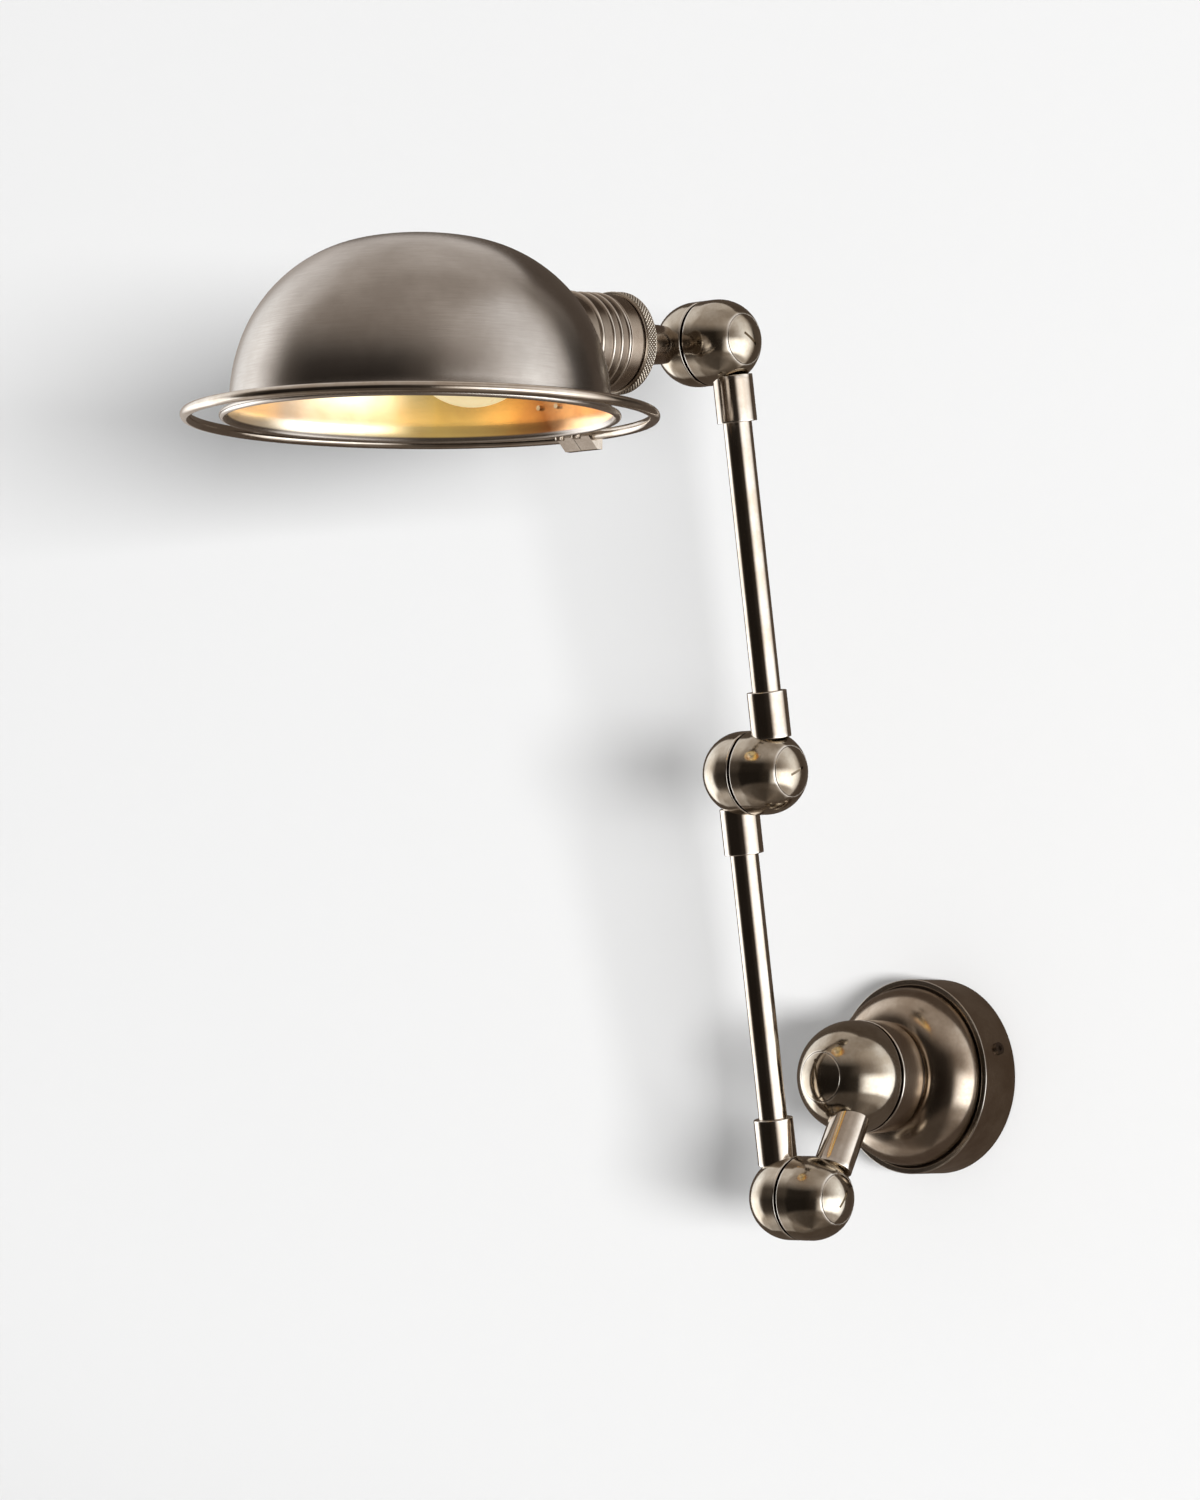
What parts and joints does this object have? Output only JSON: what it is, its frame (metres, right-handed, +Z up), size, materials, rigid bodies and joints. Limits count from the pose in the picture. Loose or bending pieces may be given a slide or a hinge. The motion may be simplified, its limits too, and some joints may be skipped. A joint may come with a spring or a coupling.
{
  "type": "wall lamp",
  "caption": "Jointed wall lamp with a ball swivel, folding arms between ball knuckles, and a domed metal shade with a handle ring round its lip.",
  "frame": {"origin": "centre of the back plate, on the wall", "axes": "+Y into the wall, +Z up, and the lamp reaches out along -Y"},
  "size_m": [0.2726, 0.5721, 0.577],
  "materials": {
    "antiqued_nickel": "burnished, clear lacquered",
    "shade_metal": "softly brushed outside, gilt inside",
    "plain_steel": "zinc plated",
    "friction_disc": "black fibre",
    "lampholder_body": "moulded",
    "brass": "plain",
    "bulb_glass": "frosted"
  },
  "bodies": {
    "wall_base": {"mounting_bracket": "plain_steel", "back_plate": "antiqued_nickel", "plate_set_screws": "antiqued_nickel", "wall_collar": "antiqued_nickel", "wall_lock_nut": "plain_steel"},
    "wall_swivel": {"wall_ball": "antiqued_nickel", "wall_ball_cap": "antiqued_nickel", "wall_friction_washer": "friction_disc", "wall_pivot": "plain_steel", "wall_pivot_nut": "plain_steel", "swivel_stub": "antiqued_nickel", "shoulder_right_half": "antiqued_nickel", "shoulder_right_cap": "antiqued_nickel", "shoulder_friction_washer": "friction_disc", "shoulder_pivot": "plain_steel", "shoulder_pivot_nut": "plain_steel"},
    "lower_arm": {"shoulder_left_half": "antiqued_nickel", "shoulder_left_cap": "antiqued_nickel", "lower_arm_bottom_ferrule": "antiqued_nickel", "lower_arm_tube": "antiqued_nickel", "lower_arm_top_ferrule": "antiqued_nickel", "elbow_left_half": "antiqued_nickel", "elbow_left_cap": "antiqued_nickel"},
    "upper_arm": {"elbow_right_half": "antiqued_nickel", "elbow_right_cap": "antiqued_nickel", "elbow_friction_washer": "friction_disc", "elbow_pivot": "plain_steel", "elbow_pivot_nut": "plain_steel", "upper_arm_bottom_ferrule": "antiqued_nickel", "upper_arm_tube": "antiqued_nickel", "upper_arm_top_ferrule": "antiqued_nickel", "wrist_right_half": "antiqued_nickel", "wrist_right_cap": "antiqued_nickel", "wrist_friction_washer": "friction_disc", "wrist_pivot": "plain_steel", "wrist_pivot_nut": "plain_steel"},
    "shade_head": {"wrist_left_half": "antiqued_nickel", "wrist_left_cap": "antiqued_nickel", "shade_neck": "antiqued_nickel", "knurled_cap": "antiqued_nickel", "socket_housing": "antiqued_nickel", "lampholder_nipple": "brass", "lampholder": "lampholder_body", "lampholder_shell": "brass", "bulb_base": "brass", "bulb_globe": "bulb_glass", "dome_shade": "shade_metal", "fitter_ring": "plain_steel", "handle_ring": "antiqued_nickel", "ring_clamp_blocks": "antiqued_nickel", "ring_bracket": "antiqued_nickel", "ring_clamp_screws": "antiqued_nickel", "bracket_rivets": "plain_steel"}
  },
  "joints": [
    {"name": "wall_turn", "type": "hinge", "parent": "wall_base", "child": "wall_swivel", "pos_m": [0, -0.0773, 0], "axis": [0, 1, 0], "range_deg": [-165, 165]},
    {"name": "shoulder_tilt", "type": "hinge", "parent": "wall_swivel", "child": "lower_arm", "pos_m": [-0.0069, -0.12353, -0.07312], "axis": [1, 0, 0], "range_deg": [-10, 150]},
    {"name": "elbow_tilt", "type": "hinge", "parent": "lower_arm", "child": "upper_arm", "pos_m": [-0.0069, -0.16539, 0.18248], "axis": [1, 0, 0], "range_deg": [-125, 75]},
    {"name": "wrist_tilt", "type": "hinge", "parent": "upper_arm", "child": "shade_head", "pos_m": [-0.0069, -0.20724, 0.43807], "axis": [1, 0, 0], "range_deg": [-90, 45]}
  ]
}
